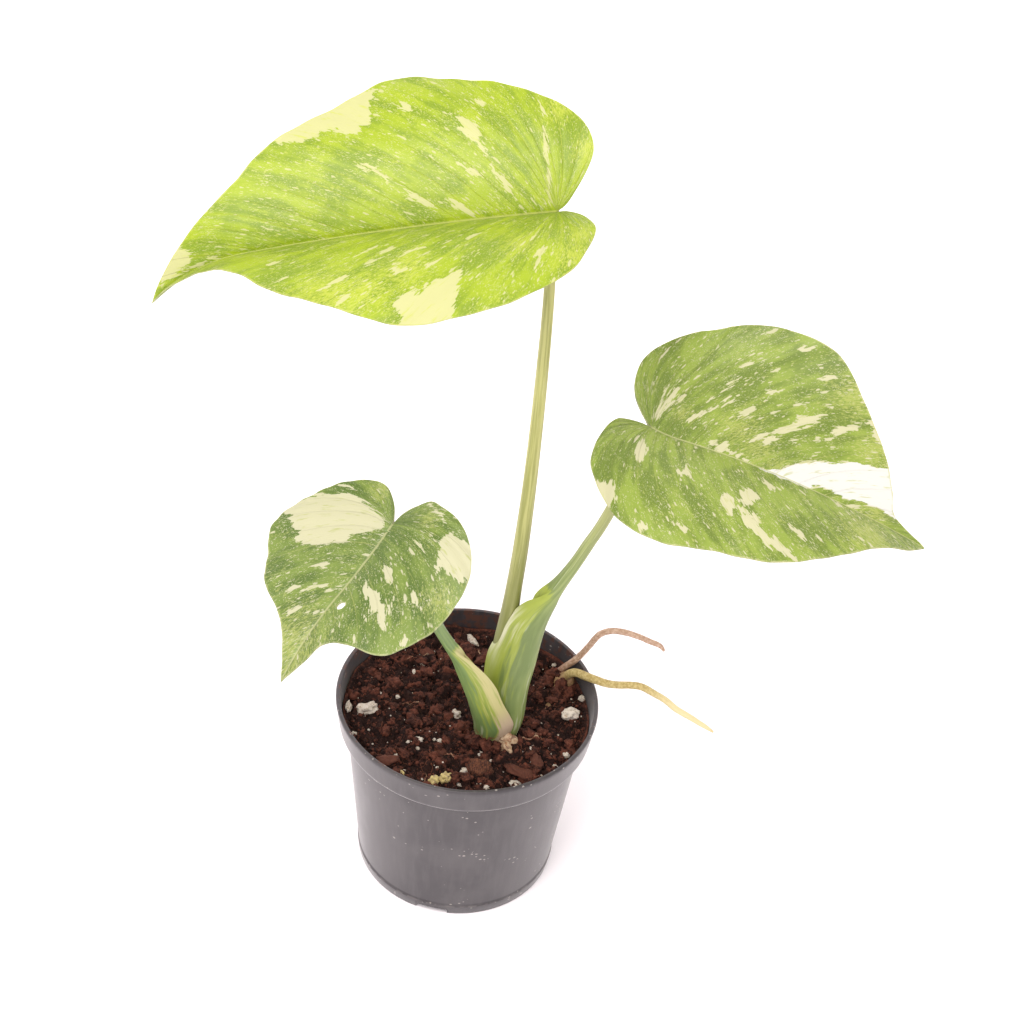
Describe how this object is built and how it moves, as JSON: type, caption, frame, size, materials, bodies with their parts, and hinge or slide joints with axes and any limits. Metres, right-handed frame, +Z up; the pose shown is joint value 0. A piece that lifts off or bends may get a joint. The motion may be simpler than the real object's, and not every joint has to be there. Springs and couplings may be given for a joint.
{
  "type": "potted thai constellation monstera",
  "caption": "Young variegated monstera with cream-flecked heart-shaped leaves on sheathed petioles, rooted in potting mix in a round nursery pot.",
  "frame": {"origin": "centre of the pot's underside, on the surface that the pot stands on", "axes": "+Z up along the pot's axis, +X towards the right leaf, and -Y towards the front, the side that the small leaf hangs to"},
  "size_m": [0.3306, 0.2012, 0.3589],
  "materials": {
    "pot": "warm dark grey moulded plastic, satin, with pale dust and scuffs",
    "soil": "damp reddish brown coir and peat with cream perlite grains and bark",
    "stem_base": "cream and light brown rhizome with a brown cut scar and pale roots",
    "petiole_tall": "olive green stalk with fine pale lengthwise streaks, satin",
    "petiole_right": "green stalk, light yellow green along the sheath, satin",
    "petiole_left": "green stalk with a cream and yellow sheath margin, satin",
    "leaf_large": "bright yellow green blade with cream flecks and patches, satin waxy sheen",
    "leaf_right": "green blade with cream flecks and a white sector, satin waxy sheen",
    "leaf_small": "deep green blade with cream flecks and two cream patches, satin waxy sheen",
    "aerial_root_upper": "brownish pink dry root, scurfy",
    "aerial_root_lower": "olive yellow scurfy root with a cream young end"
  },
  "bodies": {
    "root": {"pot": "pot", "soil": "soil", "stem_base": "stem_base", "petiole_tall": "petiole_tall", "petiole_right": "petiole_right", "petiole_left": "petiole_left", "leaf_large": "leaf_large", "leaf_right": "leaf_right", "leaf_small": "leaf_small", "aerial_root_upper": "aerial_root_upper", "aerial_root_lower": "aerial_root_lower"}
  },
  "joints": []
}
